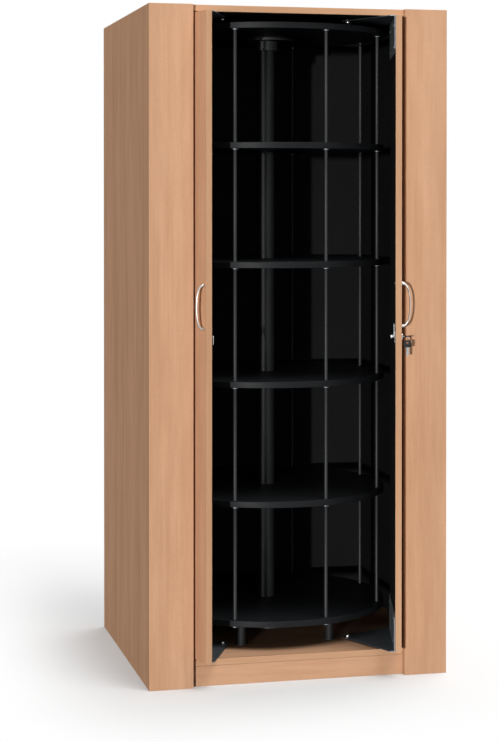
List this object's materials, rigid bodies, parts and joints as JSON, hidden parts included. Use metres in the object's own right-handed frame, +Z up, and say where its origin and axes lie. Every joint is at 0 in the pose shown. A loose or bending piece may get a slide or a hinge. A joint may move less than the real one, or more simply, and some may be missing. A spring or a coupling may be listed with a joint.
{
  "type": "rotary filing cabinet",
  "caption": "Tall beech cabinet with a turning carousel of round black shelves for ring files, behind two leaves that swing on set-back pivot plates, with bow handles and a cam lock.",
  "frame": {"origin": "on the floor under the middle of the bounding box, with both leaves open", "axes": "+X to the right seen from the front, +Y to the back, +Z up; the doorway faces -Y"},
  "size_m": [0.92, 0.8994, 2.02],
  "materials": {
    "beech": "beech melamine, satin, grain along the board",
    "back_board": "dark thin fibreboard",
    "black_board": "black melamine board with a slightly shiny edge",
    "black_steel": "black powder coat",
    "zinc_steel": "zinc-plated sheet steel",
    "bright_steel": "bright nickel-plated steel",
    "satin_metal": "satin silver",
    "black_plastic": "black moulded plastic"
  },
  "bodies": {
    "cabinet": {"left_side_panel": "beech", "right_side_panel": "beech", "left_pilaster": "beech", "right_pilaster": "beech", "floor_panel": "beech", "top_panel": "beech", "front_plinth": "beech", "middle_bearer": "beech", "rear_plinth": "beech", "back_panel": "back_board", "left_lower_pivot_pin": "bright_steel", "left_upper_pivot_pin": "bright_steel", "right_lower_pivot_pin": "bright_steel", "right_upper_pivot_pin": "bright_steel", "bearing_base": "zinc_steel", "lower_race": "bright_steel", "ball_cage": "bright_steel", "top_bearing_plate": "zinc_steel", "front_left_support_leg": "black_plastic", "front_right_support_leg": "black_plastic", "rear_left_support_leg": "black_plastic", "rear_right_support_leg": "black_plastic"},
    "left_door": {"left_door_leaf": "beech", "left_handle": "satin_metal", "left_lower_pivot_plate": "zinc_steel", "left_upper_pivot_plate": "zinc_steel", "strike_plate": "zinc_steel"},
    "right_door": {"right_door_leaf": "beech", "right_handle": "satin_metal", "right_lower_pivot_plate": "zinc_steel", "right_upper_pivot_plate": "zinc_steel", "lock_cylinder": "bright_steel", "lock_plate": "zinc_steel"},
    "key": {"lock_plug": "bright_steel", "lock_cam": "zinc_steel", "key": "black_plastic"},
    "spare_key": {"key_ring": "bright_steel", "spare_key": "black_plastic"},
    "carousel": {"column": "black_steel", "lower_hub": "black_steel", "upper_hub": "black_steel", "upper_race": "bright_steel", "top_bush": "black_plastic", "shelf_1": "black_board", "shelf_2": "black_board", "shelf_3": "black_board", "shelf_4": "black_board", "shelf_5": "black_board", "carousel_top": "black_board", "post_1": "black_steel", "post_2": "black_steel", "post_3": "black_steel", "post_4": "black_steel", "post_5": "black_steel", "post_6": "black_steel", "post_7": "black_steel", "post_8": "black_steel"}
  },
  "joints": [
    {"name": "left_door_swing", "type": "hinge", "parent": "cabinet", "child": "left_door", "pos_m": [-0.19952, -0.21732, 1.04], "axis": [0, 0, 1], "range_deg": [0, 75]},
    {"name": "right_door_swing", "type": "hinge", "parent": "cabinet", "child": "right_door", "pos_m": [0.19952, -0.21732, 1.04], "axis": [0, 0, 1], "range_deg": [-75, 0]},
    {"name": "carousel_turn", "type": "hinge", "parent": "cabinet", "child": "carousel", "pos_m": [0, 0.0427, 1.04], "axis": [0, 0, 1], "continuous": true},
    {"name": "key_turn", "type": "hinge", "parent": "right_door", "child": "key", "pos_m": [0.30624, -0.42555, 1.032], "axis": [0.9659, -0.2588, 0], "range_deg": [0, 90]},
    {"name": "spare_key_hang", "type": "hinge", "parent": "key", "child": "spare_key", "pos_m": [0.32098, -0.43933, 1.032], "axis": [0.9659, -0.2588, 0], "range_deg": [-90, 0]}
  ],
  "couplings": [
    {"joint": "spare_key_hang", "follows": "key_turn", "ratio": -1}
  ]
}
